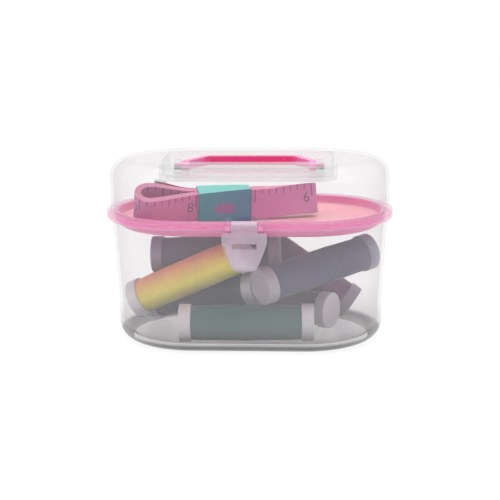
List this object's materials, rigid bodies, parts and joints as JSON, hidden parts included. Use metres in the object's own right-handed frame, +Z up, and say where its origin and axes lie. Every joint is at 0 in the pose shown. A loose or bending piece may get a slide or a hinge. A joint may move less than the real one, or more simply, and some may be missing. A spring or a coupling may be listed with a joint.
{
  "type": "sewing thread storage box",
  "caption": "Clear oval sewing box with hinged lid, folding handle, snap latch, lift-out tray, thread spools and a folded tape measure.",
  "frame": {"origin": "centre of the tub's flat underside, the face it stands on", "axes": "+X along the box to its right end, +Y to the hinge at the back, +Z up; the latch is at -Y"},
  "size_m": [0.1196, 0.0833, 0.0766],
  "materials": {
    "clear_plastic": "clear polystyrene, slightly hazy",
    "pink_plastic": "moulded, semi-gloss pink",
    "hot_pink_plastic": "moulded, glossy hot pink",
    "milky_plastic": "milky translucent polypropylene",
    "tape_cloth": "coated cloth tape with dark scale marks",
    "band_paper": "printed paper band, plain",
    "clip_metal": "folded sheet metal",
    "spool_tube": "wound paper tube",
    "spool_cap": "moulded white, satin",
    "green_thread": "fine sewing thread, close wound",
    "yellow_thread": "fine sewing thread, close wound",
    "navy_thread": "fine sewing thread, close wound",
    "slate_thread": "fine sewing thread, close wound",
    "grey_thread": "fine sewing thread, close wound",
    "plum_thread": "fine sewing thread, close wound",
    "black_thread": "fine sewing thread, close wound"
  },
  "bodies": {
    "tub": {"tub": "clear_plastic", "tray": "pink_plastic", "tape": "tape_cloth", "tape_band": "band_paper", "tape_clip": "clip_metal", "green_core": "spool_tube", "green_caps": "spool_cap", "green_thread": "green_thread", "yellow_core": "spool_tube", "yellow_caps": "spool_cap", "yellow_thread": "yellow_thread", "navy_core": "spool_tube", "navy_caps": "spool_cap", "navy_thread": "navy_thread", "slate_core": "spool_tube", "slate_caps": "spool_cap", "slate_thread": "slate_thread", "grey_core": "spool_tube", "grey_caps": "spool_cap", "grey_thread": "grey_thread", "plum_core": "spool_tube", "plum_caps": "spool_cap", "plum_thread": "plum_thread", "black_core": "spool_tube", "black_caps": "spool_cap", "black_thread": "black_thread"},
    "lid": {"lid": "clear_plastic"},
    "handle": {"handle": "hot_pink_plastic"},
    "latch": {"latch": "milky_plastic"}
  },
  "joints": [
    {"name": "lid_hinge", "type": "hinge", "parent": "tub", "child": "lid", "pos_m": [0, 0.0393, 0.0532], "axis": [-1, 0, 0], "range_deg": [0, 110]},
    {"name": "handle_fold", "type": "hinge", "parent": "lid", "child": "handle", "pos_m": [0, 0, 0.0724], "axis": [1, 0, 0], "range_deg": [0, 180]},
    {"name": "latch_swing", "type": "hinge", "parent": "lid", "child": "latch", "pos_m": [0, -0.0393, 0.0541], "axis": [-1, 0, 0], "range_deg": [0, 150]}
  ]
}
